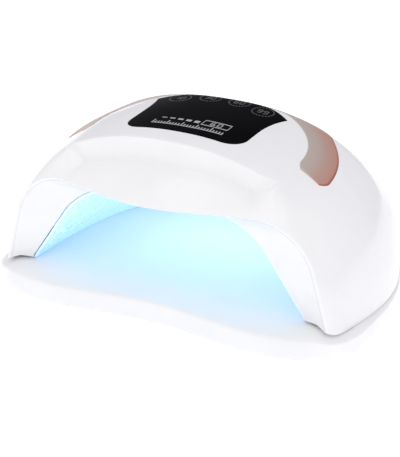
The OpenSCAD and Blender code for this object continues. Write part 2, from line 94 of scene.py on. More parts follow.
def roundness(y):
    """Power of the superellipse that a section across the head follows."""
    return 2.34 - 0.17 * min(1.0, max(0.0, (Y_WIDE - y) / 45))


def grip_y(phi):
    """Where the grip's ledge runs: across the back, then forward down the two sides."""
    return GRIP_Y - GRIP_REACH * min(1.0, max(0.0, (62 - min(phi, 180 - phi)) / 46)) ** 3


def grip(y, phi, t):
    """Depth of the finger grip behind its ledge; just in front of the ledge the surface rises to a ridge."""
    lead = 3.0 if t > 0 else 0.0
    d = y + lead - grip_y(phi)
    fade = min(1.0, max(0.0, (min(phi, 180 - phi) - 14) / 6)) * min(1.0, (HEAD_REAR - y) / 20)
    if d <= 0:
        return -RIDGE * ramp(1 + d / 22) * fade
    return ((GRIP_DEPTH + RIDGE) * ramp(d / 1.8) - RIDGE) * math.exp(-d / 20) * fade


def head_r(phi, y, t=0.0):
    """Distance of the head's surface from the axis x = 0, z = HEAD_Z, at an angle phi in degrees."""
    n, a, h = roundness(y), half_w(y, t), rise(y, t)
    p = math.radians(phi)
    r = ((abs(math.cos(p)) / a) ** n + (max(0.0, math.sin(p)) / h) ** n) ** (-1 / n)
    wide = FLARE * (max(0.0, Y_WIDE - y) / 45) ** 2 * max(0.0, 1 - min(phi, 180 - phi) / 24) ** 2
    return r - grip(y, phi, t) + wide


def drop(x):
    """How far the deck and the head's foot drop at the two sides, where the skirt hangs over the tray."""
    return SKIRT * ramp((abs(x) - 98) / 16)


def skirted(p):
    """Draws the foot down with the tray's sides; its hem goes a little lower, to close the gap."""
    u = max(0.0, 1 - (p[2] - HEAD_Z) / 30)
    return p - V(0, 0, (drop(p[0]) + HEM * ramp((abs(p[0]) - 105) / 6)) * u * u)


def sunk(p, low):
    """Lowers the tray's deck at the two sides; what lies at or under the height low stays."""
    return p - V(0, 0, drop(p[0]) * ramp((p[2] - low) / 9))


def polar(phi, r, y):
    p = math.radians(phi)
    return V(r * math.cos(p), y, HEAD_Z + r * math.sin(p))


def head_pt(phi, y, t=0.0):
    return polar(phi, head_r(phi, y, t), y)


def head_top(x, y, t=0.0):
    """Height of the head's surface over x and y."""
    return HEAD_Z + rise(y, t) * quarter(abs(x) / half_w(y, t), roundness(y))


def arch_r(phi, hw, h, lean, r):
    """An arch with leaning sides and a flat top: half its foot's width, height, lean and corner radius."""
    p = math.radians(180 - phi if phi > 90 else phi)
    turn = math.pi / 2 - math.atan(lean)
    cx, cz = hw - lean * h - r * math.tan(turn / 2), h - r
    foot = math.atan2(cz + r * math.sin(math.pi / 2 - turn), cx + r * math.cos(math.pi / 2 - turn))
    if p < foot:
        return hw / (math.cos(p) + lean * math.sin(p))
    if p > math.atan2(h, cx):
        return h / math.sin(p)
    c = cx * math.cos(p) + cz * math.sin(p)
    return c + math.sqrt(c * c - cx * cx - cz * cz + r * r)


def edge_y(x):
    """Where the roof ends over the brow."""
    x = min(abs(x), STEP_X)
    return Y_STEP + 2 * (x / 50) ** 2 + 5 * (max(0.0, x - 56) / 12) ** 2


def edge_phi(phi):
    """The roof's edge at an angle phi."""
    return edge_y(head_r(phi, Y_STEP) * math.cos(math.radians(phi)))


def step_depth(p):
    """How far the brow is stepped down under the roof's edge."""
    x = abs(p[0])
    if x > STEP_X:
        return 0.0
    return (p[2] - (BROW_Z - 8 * (x / CORNER_X) ** 2)) * min(1.0, (STEP_X - x) / (STEP_X - CORNER_X))


def matched(p, hw, h):
    """Angle of the point of an arch of this size that goes with the point p of the roof's edge."""
    return math.degrees(math.atan2((p[2] - HEAD_Z) * h / rise(Y_STEP), p[0] * hw / half_w(Y_STEP)))


def lip_pt(p):
    """The point of the outer lip that goes with the point p of the roof's edge."""
    a = matched(p, LIP_HW, LIP_Z - HEAD_Z)
    q = polar(a, arch_r(a, LIP_HW, LIP_Z - HEAD_Z, LIP_LEAN, LIP_CORNER), 0)
    return V(q[0], -83.5 - 19.2 * math.exp(-(q[0] / 56) ** 2), q[2])


def arch_pt(p, grow=0.0, y=ARCH_Y):
    """The same for the arch of the hand opening."""
    a = matched(p, ARCH_HW, ARCH_Z - HEAD_Z)
    return polar(a, arch_r(a, ARCH_HW, ARCH_Z - HEAD_Z, ARCH_LEAN, ARCH_CORNER) + grow, y)


def outward(p):
    """The direction away from the axis x = 0, z = HEAD_Z."""
    d = V(p[0], 0, p[2] - HEAD_Z)
    return d / max(1e-9, np.linalg.norm(d))


def liner_k(y, t):
    """The reflector's size at y, as a share of its size at the mouth."""
    if y < LINER_WIDE:
        return 1.0
    return quarter((y - LINER_WIDE) / (LINER_REAR - t - LINER_WIDE), LINER_POW)


def liner_pt(phi, y, t):
    """A point of the reflector; its foot reaches a little below the head's."""
    r = arch_r(phi, ARCH_HW, ARCH_Z - HEAD_Z, ARCH_LEAN, ARCH_CORNER) - LINER_GAP - t
    p = polar(phi, r * liner_k(y, t), y)
    return p - V(0, 0, 0.6 * max(0.0, 1 - (p[2] - HEAD_Z) / 4) ** 2)


# ---------------------------------------------------------------- materials
def material(name):
    m = bpy.data.materials.new(name)
    m.use_nodes = True
    t = m.node_tree
    return m, t, t.nodes["Principled BSDF"]


def node(t, kind, **props):
    """Adds a node; each property is an input's name or, failing that, an attribute."""
    n = t.nodes.new(kind)
    for k, v in props.items():
        if k in n.inputs:
            n.inputs[k].default_value = v
        else:
            setattr(n, k, v)
    return n


def noise(t, scale, detail, stretch=None):
    """A noise in the piece's own coordinates; stretch squeezes it along an axis for a grain."""
    out = t.nodes.new("ShaderNodeTexCoord").outputs["Object"]
    if stretch:
        mp = t.nodes.new("ShaderNodeMapping")
        mp.inputs["Scale"].default_value = stretch
        t.links.new(out, mp.inputs["Vector"])
        out = mp.outputs["Vector"]
    n = node(t, "ShaderNodeTexNoise", Scale=scale, Detail=detail, Roughness=0.55)
    t.links.new(out, n.inputs["Vector"])
    return n.outputs["Fac"]


def spread(t, fac, lo, hi, start=0.0, end=1.0):
    """Maps fac from start to end onto lo to hi."""
    r = node(t, "ShaderNodeMapRange", **{"From Min": start, "From Max": end, "To Min": lo, "To Max": hi})
    t.links.new(fac, r.inputs["Value"])
    return r.outputs["Result"]


def axes(t, vector):
    """The three components of a vector, by the names X, Y and Z."""
    sep = t.nodes.new("ShaderNodeSeparateXYZ")
    t.links.new(vector, sep.inputs["Vector"])
    return sep.outputs


def tint(t, fac, stops):
    """A colour ramp: stops are (position, colour)."""
    r = t.nodes.new("ShaderNodeValToRGB")
    e = r.color_ramp.elements
    while len(e) < len(stops):
        e.new(0.5)
    for el, (pos, col) in zip(e, stops):
        el.position, el.color = pos, (*col, 1)
    t.links.new(fac, r.inputs["Fac"])
    return r.outputs["Color"]


def bump(t, b, layers):
    """Stacks bumps: layers are (height, strength, distance in metres)."""
    last = None
    for height, strength, dist in layers:
        n = node(t, "ShaderNodeBump", Strength=strength, Distance=dist)
        t.links.new(height, n.inputs["Height"])
        if last:
            t.links.new(last, n.inputs["Normal"])
        last = n.outputs["Normal"]
    t.links.new(last, b.inputs["Normal"])


def plastic(name, lo, hi, rough, coat=0.0, fine=1400.0, peel=70.0, bumps=(0.05, 0.06), spec=0.5, ior=1.5):
    """Moulded plastic: mottled colour, uneven gloss, a fine tool texture and the slow waves of a moulding."""
    m, t, b = material(name)
    t.links.new(tint(t, noise(t, 38, 4), [(0.3, lo), (0.7, hi)]), b.inputs["Base Color"])
    t.links.new(spread(t, noise(t, 160, 5), *rough), b.inputs["Roughness"])
    b.inputs["Coat Weight"].default_value = coat
    b.inputs["Coat Roughness"].default_value = 0.06
    b.inputs["Specular IOR Level"].default_value = spec
    b.inputs["IOR"].default_value = ior
    bump(t, b, [(noise(t, peel, 2), bumps[1], 0.0004), (noise(t, fine, 2), bumps[0], 0.00005)])
    return m


WHITE = plastic("white_gloss", (0.85, 0.85, 0.864), (0.88, 0.88, 0.889), (0.12, 0.2), coat=0.35)
TRAY_WHITE = plastic("white_tray", (0.82, 0.82, 0.832), (0.845, 0.845, 0.855), (0.2, 0.3), coat=0.15)


def paint_side_glow(m):
    """Painted light: a white glow on the tray's two sides, rising with |x| from 98 mm, that lifts the shade
    under the head's skirt.
    """
    t, b = m.node_tree, m.node_tree.nodes["Principled BSDF"]
    at = axes(t, t.nodes.new("ShaderNodeTexCoord").outputs["Object"])
    side = node(t, "ShaderNodeMath", operation="ABSOLUTE")
    t.links.new(at["X"], side.inputs[0])
    # painted light: the emission strength grows towards the tray's sides, where the head's skirt shades the deck
    t.links.new(spread(t, side.outputs["Value"], 0.0, 0.06, 0.098, 0.112), b.inputs["Emission Strength"])
    b.inputs["Emission Color"].default_value = (1, 1, 1, 1)


# the tray's two sides get a painted glow that lifts the shade under the head's skirt
paint_side_glow(TRAY_WHITE)
MATTE = plastic("white_matte", (0.76, 0.76, 0.77), (0.81, 0.81, 0.815), (0.5, 0.62), fine=2200,
                bumps=(0.3, 0.05))
RUBBER = plastic("rubber_grey", (0.12, 0.12, 0.125), (0.17, 0.17, 0.175), (0.65, 0.8), fine=2600,
                 bumps=(0.5, 0.1))
BLACK = plastic("black_plastic", (0.016, 0.016, 0.018), (0.028, 0.028, 0.03), (0.32, 0.45), fine=2400,
                bumps=(0.25, 0.05))
PANEL = plastic("panel_black", (0.0022, 0.0022, 0.0026), (0.0034, 0.0034, 0.004), (0.08, 0.13), peel=45,
                bumps=(0.004, 0.02), spec=0.3, ior=1.05)
PCB = plastic("pcb", (0.02, 0.12, 0.05), (0.035, 0.17, 0.075), (0.3, 0.4), fine=1800, bumps=(0.15, 0.04))
PCB_WHITE = plastic("pcb_white", (0.74, 0.76, 0.74), (0.8, 0.82, 0.8), (0.35, 0.45), fine=1800,
                    bumps=(0.15, 0.04))
RIBBON = plastic("ribbon_white", (0.62, 0.62, 0.6), (0.74, 0.74, 0.72), (0.4, 0.5), fine=900,
                 bumps=(0.3, 0.1))


def metal(name, lo, hi, rough, stretch):
    """Plated metal with a fine grain."""
    m, t, b = material(name)
    b.inputs["Metallic"].default_value = 1.0
    grain = noise(t, 900, 4, stretch=stretch)
    t.links.new(tint(t, grain, [(0.25, lo), (0.75, hi)]), b.inputs["Base Color"])
    t.links.new(spread(t, grain, *rough), b.inputs["Roughness"])
    bump(t, b, [(grain, 0.12, 0.00005)])
    return m


STEEL = metal("steel_nickel", (0.5, 0.5, 0.52), (0.68, 0.68, 0.7), (0.18, 0.32), (1, 1, 8))


def copper():
    """Satin lacquered copper with painted light across the band: the pale side towards the panel is a painted
    reflection, the deep outer side with its dark rim painted shade; U runs across the band.
    """
    m, t, b = material("copper_satin_painted_light")
    uv = node(t, "ShaderNodeUVMap", uv_map="across")
    # painted light: the pale first stops are a painted reflection, the dark last stop painted shade on the
    # rounded outer rim
    base = tint(t, axes(t, uv.outputs["UV"])["X"], [(0.0, (0.6, 0.52, 0.47)), (0.3, (0.59, 0.48, 0.425)),
                                                    (0.62, (0.585, 0.38, 0.31)),
                                                    (0.93, (0.6, 0.31, 0.24)), (0.985, (0.38, 0.13, 0.08))])
    mix = node(t, "ShaderNodeMix", data_type="RGBA", blend_type="MULTIPLY")
    mix.inputs["Factor"].default_value = 1.0
    t.links.new(base, mix.inputs["A"])
    mottle = tint(t, noise(t, 1500, 4), [(0.3, (0.93, 0.93, 0.93)), (0.7, (1.0, 1.0, 1.0))])
    t.links.new(mottle, mix.inputs["B"])
    t.links.new(mix.outputs["Result"], b.inputs["Base Color"])
    b.inputs["Metallic"].default_value = 0.55
    t.links.new(spread(t, noise(t, 700, 4), 0.34, 0.44), b.inputs["Roughness"])
    b.inputs["Coat Weight"].default_value = 0.15
    b.inputs["Coat Roughness"].default_value = 0.2
    bump(t, b, [(noise(t, 2600, 2), 0.08, 0.00004)])
    return m


COPPER_PAINTED_LIGHT = copper()


def reflector():
    """White reflector with the lamps' light painted on as its own emission: bluer low down and at the mouth,
    paler above and behind.
    """
    m, t, b = material("reflector_painted_glow")
    at = axes(t, t.nodes.new("ShaderNodeTexCoord").outputs["Object"])
    # painted light: the emission colour stands in for the lamps' light on the reflector, graded by height and
    # depth
    add = node(t, "ShaderNodeMath", operation="ADD")
    t.links.new(spread(t, at["Z"], 0.0, 0.55, 0.018, 0.064), add.inputs[0])
    t.links.new(spread(t, at["Y"], 0.0, 0.45, -0.078, -0.02), add.inputs[1])
    painted_glow = tint(t, add.outputs[0],
                [(0.0, (0.03, 0.17, 0.42)), (0.35, (0.1, 0.26, 0.42)), (1.0, (0.14, 0.22, 0.26))])
    t.links.new(painted_glow, b.inputs["Emission Color"])
    b.inputs["Emission Strength"].default_value = 1.0
    base = tint(t, noise(t, 60, 3), [(0.3, (0.78, 0.83, 0.87)), (0.7, (0.82, 0.87, 0.9))])
    t.links.new(base, b.inputs["Base Color"])
    t.links.new(spread(t, noise(t, 300, 4), 0.22, 0.32), b.inputs["Roughness"])
    bump(t, b, [(noise(t, 420, 3), 0.006, 0.00004)])
    return m


REFLECTOR_PAINTED_GLOW = reflector()


def bead():
    """A lamp bead's clear lens, lit from inside."""
    m, t, b = material("bead_violet")
    lens = tint(t, noise(t, 500, 2), [(0.3, (0.66, 0.8, 0.9)), (0.7, (0.726, 0.88, 0.99))])
    t.links.new(lens, b.inputs["Base Color"])
    b.inputs["Roughness"].default_value = 0.35
    b.inputs["Emission Color"].default_value = (0.14, 0.26, 0.36, 1)
    b.inputs["Emission Strength"].default_value = 0.9
    bump(t, b, [(noise(t, 900, 2), 0.05, 0.00005)])
    return m


BEAD = bead()
PRINT = plastic("print_white", (0.36, 0.36, 0.38), (0.42, 0.42, 0.44), (0.5, 0.6), fine=3000,
                bumps=(0.1, 0.02))
PRINT_DIM = plastic("print_grey", (0.06, 0.062, 0.072), (0.085, 0.088, 0.098), (0.4, 0.5), fine=3000,
                    bumps=(0.1, 0.02))


# ---------------------------------------------------------------- mesh building
def placed(name, data):
    """A new object in the scene's collection."""
    o = bpy.data.objects.new(name, data)
    bpy.context.scene.collection.objects.link(o)
    return o


def piece(name, pts, faces, mat, body, replaces=(), slot=None, sharp=40, uv=None):
    """A smooth piece that rides on a body and may replace CAD nodes; points are in millimetres."""
    me = bpy.data.meshes.new(name)
    me.from_pydata([tuple(c * MM for c in p) for p in pts], [], faces)
    me.validate()
    me.update()
    me.shade_smooth()
    me.set_sharp_from_angle(angle=math.radians(sharp))
    if uv is not None:
        layer = me.uv_layers.new(name="across")
        for loop in me.loops:
            layer.data[loop.index].uv = uv[loop.vertex_index]
    o = placed(name, me)
    me.materials.append(mat)
    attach(o, body)
    if replaces:
        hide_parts(*replaces)
    return o


def cut(obj, tool_pts, tool_faces):
    """Takes a closed solid away from a piece for good."""
    me = bpy.data.meshes.new("tool")
    me.from_pydata([tuple(c * MM for c in p) for p in tool_pts], [], tool_faces)
    me.update()
    tool = placed("tool", me)
    mod = obj.modifiers.new("cut", "BOOLEAN")
    mod.operation, mod.solver, mod.object = "DIFFERENCE", "MANIFOLD", tool
    dg = bpy.context.evaluated_depsgraph_get()
    new = bpy.data.meshes.new_from_object(obj.evaluated_get(dg))
    obj.modifiers.clear()
    obj.data = new
    new.shade_smooth()
    new.set_sharp_from_angle(angle=math.radians(40))
    bpy.data.objects.remove(tool)


def soften(p0, p1, p2, d, n=5):
    """Rounds the corner p1 between p0 and p2 over a length d on each side."""
    a = p1 + (p0 - p1) * min(0.48, d / max(1e-9, np.linalg.norm(p0 - p1)))
    c = p1 + (p2 - p1) * min(0.48, d / max(1e-9, np.linalg.norm(p2 - p1)))
    return [a * (1 - t) ** 2 + p1 * 2 * t * (1 - t) + c * t * t for t in (i / (n - 1) for i in range(n))]


def grid(rows, cols, base=0, flip=False):
    """Quads over rows and columns of points; flip turns them over."""
    quads = []
    for i in range(rows - 1):
        for j in range(cols - 1):
            a = base + i * cols + j
            b = a + cols
            quads.append([a, b, b + 1, a + 1] if flip else [a, a + 1, b + 1, b])
    return quads


def swept(name, a, b, columns, mat, body, **kw):
    """Closed skin from profiles of equal, even length that share their end points a and b."""
    m, n = len(columns[0]), len(columns) - 1
    pts = [a, b] + [p for c in columns for p in c]

    def vid(j, k):
        return 0 if k < 0 else 1 if k >= m else 2 + j * m + k

    faces = []
    for j in range(n):
        for k in range(-1, m):
            q = [vid(j, k), vid(j, k + 1), vid(j + 1, k + 1), vid(j + 1, k)]
            f = [v for i, v in enumerate(q) if v != q[i - 1]]
            if len(f) > 2:
                faces.append(f)
    for k in range(-1, m // 2 - 1):
        faces.append([vid(0, k), vid(0, m - 1 - k), vid(0, m - 2 - k), vid(0, k + 1)])
        faces.append([vid(n, k), vid(n, k + 1), vid(n, m - 2 - k), vid(n, m - 1 - k)])
    return piece(name, pts, faces, mat, body, **kw)


def loops(name, rings, mat, body, **kw):
    """Stacked rings of equal length, capped at both ends."""
    n = len(rings[0])
    faces = []
    for i in range(len(rings) - 1):
        for j in range(n):
            k = (j + 1) % n
            faces.append([i * n + j, i * n + k, (i + 1) * n + k, (i + 1) * n + j])
    faces.append(list(range(n))[::-1])
    faces.append([(len(rings) - 1) * n + j for j in range(n)])
    return piece(name, [p for r in rings for p in r], faces, mat, body, **kw)


# ---------------------------------------------------------------- the base tray
TRAY_N = 360


def dip_at(x):
    """How far the front edge is drawn in between the two lobes."""
    return FRONT_DIP * math.cos(math.pi / 2 * x / LOBE_X) ** 2 if abs(x) < LOBE_X else 0.0


def tray_pt(a, inset, z):
    """A point of the tray's outline at the angle a, drawn in by inset."""
    s, c = math.sin(a), math.cos(a)
    p, reach = (FRONT_POW, TRAY_MID - TRAY_FRONT) if s < 0 else (REAR_POW, TRAY_REAR - TRAY_MID)
    r = ((abs(c) / (TRAY_W - inset)) ** p + (abs(s) / (reach - inset)) ** p) ** (-1 / p)
    x = r * c
    return V(x, TRAY_MID + r * s + (dip_at(x) if s < 0 else 0), z)


def frontness(a):
    """0 along the tray's sides and back, 1 along its front."""
    return ramp((-math.sin(a) - 0.12) / 0.33)


def mixed_ring(side, front):
    """A ring of the tray's outside, from its (inset, height) at the sides and at the front."""
    out = []
    for i in range(TRAY_N):
        a = 2 * math.pi * i / TRAY_N
        f = frontness(a)
        out.append(sunk(tray_pt(a, lerp(side[0], front[0], f), lerp(side[1], front[1], f)), 8))
    return out


def under_ring(inset):
    """A ring of the deck's underside."""
    return [sunk(tray_pt(2 * math.pi * i / TRAY_N, inset, TRAY_TOP - DECK), 5.4) for i in range(TRAY_N)]


# (inset, height) at the sides, then at the front, from the wall's inner foot over the rim to the deck
TRAY_PROFILE = [
    ((7, 13.6), (13, 12.8)), ((3.4, 11), (3.6, 9.6)), ((2.8, 0.5), (2.8, 0.5)), ((1.3, 0.2), (1.3, 0.2)),
    ((0.8, 0.35), (0.8, 0.35)), ((0.4, 0.8), (0.4, 0.8)), ((0.15, 1.6), (0.15, 1.6)), ((0.03, 3.2), (0.03, 3.2)),
    ((0, 5), (0, 5)), ((0, 8), (0, 8)), ((0, 11.2), (0, 10.6)), ((0.06, 13.2), (0.1, 11.7)),
    ((0.25, 14.6), (0.35, 12.5)), ((0.6, 15.6), (0.8, 13.1)), ((1.1, 16.25), (1.4, 13.5)),
    ((1.7, 16.65), (2.4, 13.85)), ((2.6, 16.9), (4.2, 14.3)), ((4.0, 17), (7.0, 15.0)), ((6, 17), (10.5, 15.75)),
    ((8, 17), (14.0, 16.4)), ((11, 17), (17.5, 16.85)), ((16, 17), (21, 17)), ((21, 17), (24, 17)),
    ((26, 17), (28, 17)), ((50, 17), (50, 17))]
loops("tray_skin", [under_ring(i) for i in (26, 22, 17)] + [mixed_ring(s, f) for s, f in TRAY_PROFILE],
      TRAY_WHITE, "tray", replaces=["tray_shell"], slot="white_gloss")

# ---------------------------------------------------------------- the lamp head's skin
FOOT_PHIS = [0, 0.12, 0.3, 0.55, 0.9, 1.4]
PHIS = FOOT_PHIS + [2 + 0.5 * i for i in range(353)] + [round(180 - phi, 2) for phi in FOOT_PHIS[::-1]]
NOSE = 16
BROW = 12


def rear_ys(n):
    """Rows from the back to the widest place, set close together over the grip's ledge."""
    ys = [Y_WIDE + (HEAD_REAR - Y_WIDE) * math.sin(math.pi / 2 * i / n) for i in range(n - 1, 0, -1)]
    extra = [GRIP_Y + d for d in (0, 0.35, 0.7, 1.05, 1.4, 1.8, 2.4, 3.2)]
    return sorted([y for y in ys if not GRIP_Y - 1 < y < GRIP_Y + 4] + extra, reverse=True) + [Y_WIDE]


REAR = rear_ys(46)


def rear_y(y, phi):
    """Moves a row of points so that it follows the grip's ledge."""
    g = grip_y(phi)
    if y > GRIP_Y:
        return g + (y - GRIP_Y) * (HEAD_REAR - g) / (HEAD_REAR - GRIP_Y)
    return Y_WIDE + (y - Y_WIDE) * (g - Y_WIDE) / (GRIP_Y - Y_WIDE)


def side_line(phi, ye, edge):
    """The direction in which the head's surface runs forward at its edge."""
    d = edge - head_pt(phi, ye + 1.0)
    return d / np.linalg.norm(d)


def brow_curve(side, edge, lo, lip):
    """Control points of the brow: in line with the head beside the step, crowned between, round at the foot."""
    w = ramp((abs(edge[0]) - 50) / 20)
    foot = max(0.0, 1 - (lip[2] - HEAD_Z) / 28) ** 2
    span = lip - lo
    size = np.linalg.norm(span)
    mid = span / size + 0.2 * outward((lo + lip) / 2)
    t0 = lerp(mid / np.linalg.norm(mid), side, w)
    t1 = span / size - (lerp(0.3, 0.12, w) + 0.8 * foot) * outward(lip)
    t1 = t1 / np.linalg.norm(t1)
    return [lo, lo + t0 * size * 0.34, lip - t1 * size * 0.34, lip]


def bezier(c, t):
    """A point of the cubic curve with four control points."""
    return c[0] * (1 - t) ** 3 + c[1] * 3 * t * (1 - t) ** 2 + c[2] * 3 * t * t * (1 - t) + c[3] * t ** 3


def foot_fix(p):
    """Rounds the head's lower edge, more tightly where the skirt hangs over the tray's sides."""
    dz = p[2] - HEAD_Z
    q = p.copy()
    r = lerp(1.0, 0.35, ramp((abs(p[0]) - 109) / 5))
    if dz < r:
        turn = r - math.sqrt(max(0.0, r * r - (r - dz) ** 2))
        q[0] -= math.copysign(min(turn, abs(p[0]) * 0.5), p[0])
    return q


def outer_column(phi):
    """The outside from the back over the roof's edge, the brow and the lip to the arch."""
    ye = edge_phi(phi)
    edge = head_pt(phi, ye)
    side = side_line(phi, ye, edge)
    lo = edge + 1.2 * lerp(V(0, -1, 0), side, ramp((abs(edge[0]) - 56) / 12)) - V(0, 0, step_depth(edge))
    lip, arch = lip_pt(edge), arch_pt(edge)
    col = [head_pt(phi, rear_y(y, phi)) for y in REAR]
    start = ye + 2.2
    col += [head_pt(phi, lerp(Y_WIDE, start, i / NOSE)) for i in range(1, NOSE)]
    curve = brow_curve(side, edge, lo, lip)
    before = head_pt(phi, start)
    col += soften(before, edge, lo, 2.0, 7)
    first = bezier(curve, 0.09)
    col += soften(edge, lo, first + (first - lo), 2.6, 7)[1:]
    col += [bezier(curve, lerp(0.16, 0.93, i / BROW)) for i in range(BROW + 1)]
    face = (lip + arch) / 2 + V(0, 0.8, 0)
    col += soften(bezier(curve, 0.93), lip, face, 1.3, 7)[1:]
    along = (face - lip) / np.linalg.norm(face - lip)
    groove = ((2.0, 0.0), (2.1, 0.28), (2.32, 0.28), (2.42, 0.0))
    col += [lip + along * d + V(0, deep, 0) for d, deep in groove]
    col += [lerp(lip, arch, 0.35) + V(0, 0.6, 0), face, lerp(lip, arch, 0.72) + V(0, 0.5, 0)]
    back = arch + V(0, 3.0, 0)
    col += soften(lerp(lip, arch, 0.8), arch, back, 0.8, 6)
    return [skirted(foot_fix(p)) for p in col]


def inner_column(phi, n):
    """The inside of the shell, with the same number of points as the outside, from the arch backwards."""
    s = math.sin(math.radians(phi))
    full = head_pt(phi, edge_phi(phi))
    ye = edge_phi(phi) + WALL
    edge = head_pt(phi, ye, WALL)
    lo = edge - V(0, 0, max(0.0, step_depth(full) - 0.5))
    lip = lip_pt(full)
    lip_in = lip + outward(lip) * (-3.2 + 4.8 * s) + V(0, 3.2 + 3 * s, 0)
    keys = [arch_pt(full, 0.6 + 1.8 * s, ARCH_Y + 2.6 - 1.2 * s), lip_in, lo, edge]
    keys += [head_pt(phi, lerp(ye, Y_WIDE, i / 6), WALL) for i in range(1, 7)]
    shrink = (HEAD_REAR - WALL - Y_WIDE) / (HEAD_REAR - Y_WIDE)
    keys += [head_pt(phi, Y_WIDE + (rear_y(y, phi) - Y_WIDE) * shrink, WALL) for y in REAR[:-1][::-2]]
    keys = np.array(keys)
    at = np.r_[0, np.cumsum(np.linalg.norm(np.diff(keys, axis=0), axis=1))]
    want = np.linspace(0, at[-1], n)
    return [skirted(V(*(np.interp(w, at, keys[:, k]) for k in range(3)))) for w in want]


columns = []
for phi in PHIS:
    o = outer_column(phi)
    columns.append(o + inner_column(phi, len(o)))
head = swept("head_skin", V(0, HEAD_REAR, HEAD_Z), V(0, HEAD_REAR - WALL, HEAD_Z), columns, WHITE, "head",
             replaces=["shell"], slot="white_gloss", sharp=50)


def bore_hole(r, z, y0, y1, n=48):
    """The jack's bore through the back."""
    turns = [2 * math.pi * i / n for i in range(n)]
    pts = [V(r * math.cos(a), y, z + r * math.sin(a)) for y in (y0, y1) for a in turns]
    sides = [[i, n + i, n + (i + 1) % n, (i + 1) % n] for i in range(n)]
    cut(head, pts, [list(range(n)), list(range(2 * n - 1, n - 1, -1))] + sides)


bore_hole(6.0, 29.0, 75.0, 110.0)

# ---------------------------------------------------------------- panel, band and print on the roof
P_FRONT, P_HW, P_R, P_REAR_HW = -60.3, 39.2, 12.0, 44.0
P_CORNER = [(1 - math.cos(math.radians(a))) * P_R / 60 for a in range(0, 91, 6)]
P_ROWS = P_CORNER + [0.15 + 0.85 * i / 24 for i in range(1, 25)]
P_COLS = [math.sin(math.radians(a)) for a in range(-90, 91, 6)]


def panel_rear(x):
    """The panel's curved rear edge."""
    return 5.5 - 13.5 * (x / P_REAR_HW) ** 2


def panel_side(y):
    """Half the panel's width at y: round front corners, then sides that spread towards the back."""
    d = y - P_FRONT
    if d < P_R:
        return P_HW - P_R + math.sqrt(max(0.0, P_R * P_R - (P_R - d) ** 2))
    return P_HW + 5 * (max(0.0, y + 40) / 32) ** 2.5


def panel_xy(u, v, grow):
    """u runs from front to rear and v from left to right; grow widens the outline."""
    y0 = P_FRONT + u * (panel_rear(v * P_REAR_HW) - P_FRONT)
    return v * panel_side(y0) + grow * v, y0 + grow * (2 * u - 1)


def on_roof(x, y, lift):
    """A point over the roof's surface."""
    return V(x, y, head_top(x, y) + lift)


def panel_edge(grow):
    """The panel's outline, once round."""
    return ([panel_xy(u, 1, grow) for u in P_ROWS] + [panel_xy(1, v, grow) for v in P_COLS[-2:0:-1]]
            + [panel_xy(u, -1, grow) for u in P_ROWS[::-1]] + [panel_xy(0, v, grow) for v in P_COLS[1:-1]])


def panel_skin():
    """The glossy panel with a rounded rim."""
    rows, cols = len(P_ROWS), len(P_COLS)
    pts = [on_roof(*panel_xy(u, v, -1.0), 0.28) for u in P_ROWS for v in P_COLS]
    faces = grid(rows, cols)
    ring = ([i * cols + cols - 1 for i in range(rows)]
            + [(rows - 1) * cols + j for j in range(cols - 2, 0, -1)]
            + [i * cols for i in range(rows - 1, -1, -1)] + list(range(1, cols - 1)))
    for grow, lift in [(-0.62, 0.24), (-0.34, 0.12), (-0.16, -0.08), (-0.1, -0.4), (-0.1, -2.0)]:
        new = [len(pts) + i for i in range(len(ring))]
        pts += [on_roof(x, y, lift) for x, y in panel_edge(grow)]
        n = len(ring)
        faces += [[ring[i], new[i], new[(i + 1) % n], ring[(i + 1) % n]] for i in range(n)]
        ring = new
    faces.append(ring)
    return piece("panel_skin", pts, faces, PANEL, "head", replaces=["panel"], slot="panel_black", sharp=60)


panel_skin()

BAND_Y, BAND_IN, BAND_OUT, BAND_POW = -42.0, (68.9, 50.0), (86.6, 67.0), 2.1


def signed(v, e):
    """A power that keeps the sign."""
    return math.copysign(abs(v) ** e, v)


def band_xy(a, s):
    """a runs along the band in degrees, from its right end to its left, and s across it; its ends are round."""
    p = math.radians(a)
    ends = max(0.0, 6 - min(abs(a + 5), abs(a - 185))) / 6
    s2 = s + (0.5 - s) * 0.35 * ends * ends
    h = lerp(BAND_IN[1], BAND_OUT[1], s)
    y = 70 * math.sin(p) if math.sin(p) < 0 else h * signed(math.sin(p), 2 / BAND_POW)
    return lerp(BAND_IN[0], BAND_OUT[0], s2) * signed(math.cos(p), 2 / BAND_POW), BAND_Y + y


